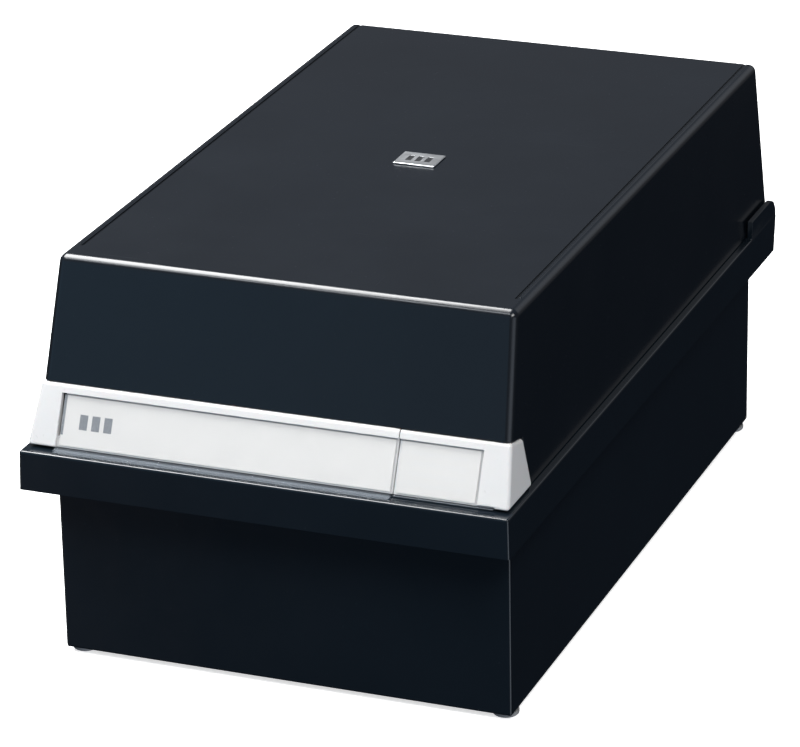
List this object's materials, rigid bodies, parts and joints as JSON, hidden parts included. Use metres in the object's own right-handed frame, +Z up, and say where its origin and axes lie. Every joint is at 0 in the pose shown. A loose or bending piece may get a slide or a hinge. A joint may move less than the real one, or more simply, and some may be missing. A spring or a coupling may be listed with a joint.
{
  "type": "card index box",
  "caption": "Lidded desk box for A6 index cards: moulded black tub with a wide rim, hinged tapered lid, white label band with clear windows, and a sliding card support inside.",
  "frame": {"origin": "centre of the bounding box's underside, on the surface the feet stand on", "axes": "+Z up, -Y towards the labelled front, +X to the right seen from the front"},
  "size_m": [0.1806, 0.3108, 0.1488],
  "materials": {
    "black_gloss": "glossy moulded polystyrene, near black",
    "black_lid": "moulded polystyrene, near black, slightly satin on top",
    "white_band": "semi-gloss white moulding",
    "clear_window": "clear polished plastic",
    "label_paper": "matt white label paper",
    "badge_metal": "brushed, thin raised edge",
    "steel": "bright zinc plated",
    "painted_steel": "dark grey powder coat",
    "black_shoe": "satin black",
    "rubber_grey": "matt grey rubber"
  },
  "bodies": {
    "base": {"base_tub": "black_gloss", "foot_front_left": "rubber_grey", "foot_front_right": "rubber_grey", "foot_rear_left": "rubber_grey", "foot_rear_right": "rubber_grey", "hinge_base_leaf": "steel", "hinge_pin": "steel", "base_rivet_1": "steel", "base_rivet_2": "steel", "base_rivet_3": "steel"},
    "lid": {"lid_shell": "black_lid", "lid_badge": "badge_metal", "hinge_lid_leaf": "steel", "label_holder": "white_band", "end_holder": "white_band", "label_window_long": "clear_window", "label_window_short": "clear_window", "label_card_long": "label_paper", "label_card_short": "label_paper", "lid_rivet_1": "steel", "lid_rivet_2": "steel", "lid_rivet_3": "steel"},
    "support": {"support_shoe": "black_shoe", "support_plate": "painted_steel", "friction_spring": "steel", "support_screw_1": "steel", "support_screw_2": "steel"}
  },
  "joints": [
    {"name": "lid_hinge", "type": "hinge", "parent": "base", "child": "lid", "pos_m": [0, 0.1505, 0.0871], "axis": [-1, 0, 0], "range_deg": [0, 108]},
    {"name": "support_slide", "type": "slide", "parent": "base", "child": "support", "axis": [0, 1, 0], "range_m": [-0.2105, 0.021]}
  ]
}
